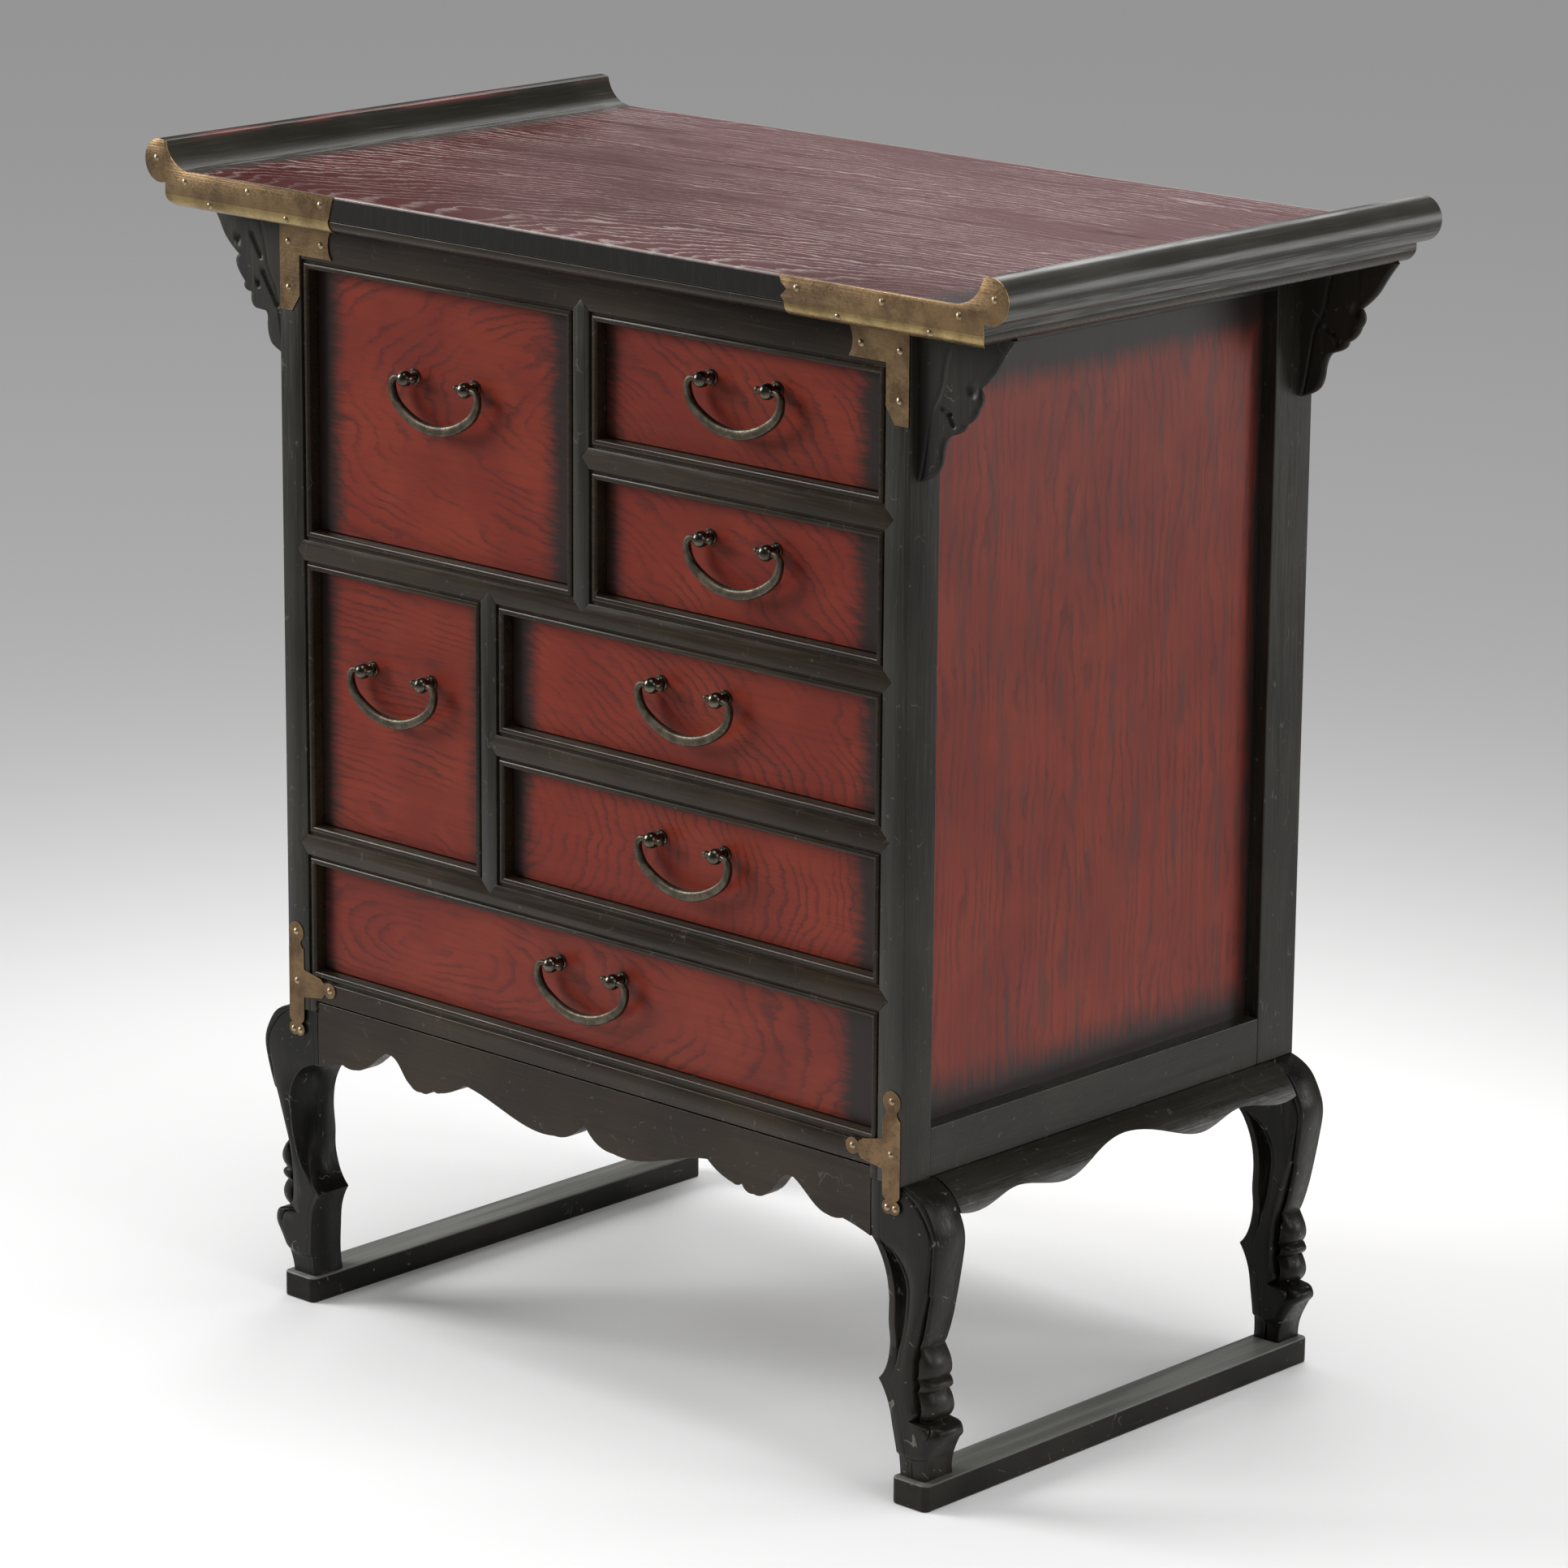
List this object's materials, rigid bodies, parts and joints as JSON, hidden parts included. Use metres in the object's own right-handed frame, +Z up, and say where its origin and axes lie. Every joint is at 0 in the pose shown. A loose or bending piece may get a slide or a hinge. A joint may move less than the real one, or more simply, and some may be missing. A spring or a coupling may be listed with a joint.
{
  "type": "chest of drawers",
  "caption": "Small lacquered East Asian chest of drawers with upturned roll ends on the top, brass corner plates, bail pulls and carved legs on floor runners.",
  "frame": {"origin": "on the floor, under the middle of the bounding box", "axes": "+Z up, +X to the right seen from the front, the drawers open towards -Y"},
  "size_m": [0.842, 0.4702, 0.89],
  "materials": {
    "black_lacquer": "satin worn lacquer",
    "red_lacquer": "satin lacquer, dark grain",
    "top_wood": "satin lacquer, limed grain",
    "plain_wood": "unfinished",
    "antique_brass": "aged, brushed",
    "dark_bronze": "dark patina"
  },
  "bodies": {
    "case": {"top_panel": "top_wood", "top_moulding": "black_lacquer", "roll_left": "black_lacquer", "roll_right": "black_lacquer", "post_front_left": "black_lacquer", "post_front_right": "black_lacquer", "rear_posts": "black_lacquer", "top_rail": "black_lacquer", "mid_rail": "black_lacquer", "lower_rail": "black_lacquer", "bottom_rail": "black_lacquer", "short_rails": "black_lacquer", "stiles": "black_lacquer", "side_panels": "red_lacquer", "side_rails": "black_lacquer", "back_rails": "plain_wood", "back_panel": "plain_wood", "dust_boards": "plain_wood", "drawer_guides": "plain_wood", "brackets": "black_lacquer", "apron_front": "black_lacquer", "apron_back": "black_lacquer", "side_aprons": "black_lacquer", "leg_front_left": "black_lacquer", "leg_front_right": "black_lacquer", "leg_rear_left": "black_lacquer", "leg_rear_right": "black_lacquer", "runners": "black_lacquer", "top_plates": "antique_brass", "corner_plates": "antique_brass", "leg_plates": "antique_brass", "nails": "antique_brass"},
    "drawer_1": {"drawer_1_front": "red_lacquer", "drawer_1_box": "plain_wood", "drawer_1_posts": "dark_bronze"},
    "bail_1": {"drawer_1_bail": "dark_bronze"},
    "drawer_2": {"drawer_2_front": "red_lacquer", "drawer_2_box": "plain_wood", "drawer_2_posts": "dark_bronze"},
    "bail_2": {"drawer_2_bail": "dark_bronze"},
    "drawer_3": {"drawer_3_front": "red_lacquer", "drawer_3_box": "plain_wood", "drawer_3_posts": "dark_bronze"},
    "bail_3": {"drawer_3_bail": "dark_bronze"},
    "drawer_4": {"drawer_4_front": "red_lacquer", "drawer_4_box": "plain_wood", "drawer_4_posts": "dark_bronze"},
    "bail_4": {"drawer_4_bail": "dark_bronze"},
    "drawer_5": {"drawer_5_front": "red_lacquer", "drawer_5_box": "plain_wood", "drawer_5_posts": "dark_bronze"},
    "bail_5": {"drawer_5_bail": "dark_bronze"},
    "drawer_6": {"drawer_6_front": "red_lacquer", "drawer_6_box": "plain_wood", "drawer_6_posts": "dark_bronze"},
    "bail_6": {"drawer_6_bail": "dark_bronze"},
    "drawer_7": {"drawer_7_front": "red_lacquer", "drawer_7_box": "plain_wood", "drawer_7_posts": "dark_bronze"},
    "bail_7": {"drawer_7_bail": "dark_bronze"}
  },
  "joints": [
    {"name": "drawer_1_slide", "type": "slide", "parent": "case", "child": "drawer_1", "axis": [0, -1, 0], "range_m": [0, 0.28]},
    {"name": "bail_1_swing", "type": "hinge", "parent": "drawer_1", "child": "bail_1", "pos_m": [-0.14763, -0.2029, 0.7376], "axis": [-1, 0, 0], "range_deg": [0, 95]},
    {"name": "drawer_2_slide", "type": "slide", "parent": "case", "child": "drawer_2", "axis": [0, -1, 0], "range_m": [0, 0.28]},
    {"name": "bail_2_swing", "type": "hinge", "parent": "drawer_2", "child": "bail_2", "pos_m": [0.14763, -0.2029, 0.7783], "axis": [-1, 0, 0], "range_deg": [0, 95]},
    {"name": "drawer_3_slide", "type": "slide", "parent": "case", "child": "drawer_3", "axis": [0, -1, 0], "range_m": [0, 0.28]},
    {"name": "bail_3_swing", "type": "hinge", "parent": "drawer_3", "child": "bail_3", "pos_m": [0.14763, -0.2029, 0.6656], "axis": [-1, 0, 0], "range_deg": [0, 95]},
    {"name": "drawer_4_slide", "type": "slide", "parent": "case", "child": "drawer_4", "axis": [0, -1, 0], "range_m": [0, 0.28]},
    {"name": "bail_4_swing", "type": "hinge", "parent": "drawer_4", "child": "bail_4", "pos_m": [-0.19462, -0.2029, 0.5122], "axis": [-1, 0, 0], "range_deg": [0, 95]},
    {"name": "drawer_5_slide", "type": "slide", "parent": "case", "child": "drawer_5", "axis": [0, -1, 0], "range_m": [0, 0.28]},
    {"name": "bail_5_swing", "type": "hinge", "parent": "drawer_5", "child": "bail_5", "pos_m": [0.10063, -0.2029, 0.5529], "axis": [-1, 0, 0], "range_deg": [0, 95]},
    {"name": "drawer_6_slide", "type": "slide", "parent": "case", "child": "drawer_6", "axis": [0, -1, 0], "range_m": [0, 0.28]},
    {"name": "bail_6_swing", "type": "hinge", "parent": "drawer_6", "child": "bail_6", "pos_m": [0.10063, -0.2029, 0.4402], "axis": [-1, 0, 0], "range_deg": [0, 95]},
    {"name": "drawer_7_slide", "type": "slide", "parent": "case", "child": "drawer_7", "axis": [0, -1, 0], "range_m": [0, 0.28]},
    {"name": "bail_7_swing", "type": "hinge", "parent": "drawer_7", "child": "bail_7", "pos_m": [0, -0.2029, 0.3275], "axis": [-1, 0, 0], "range_deg": [0, 95]}
  ]
}
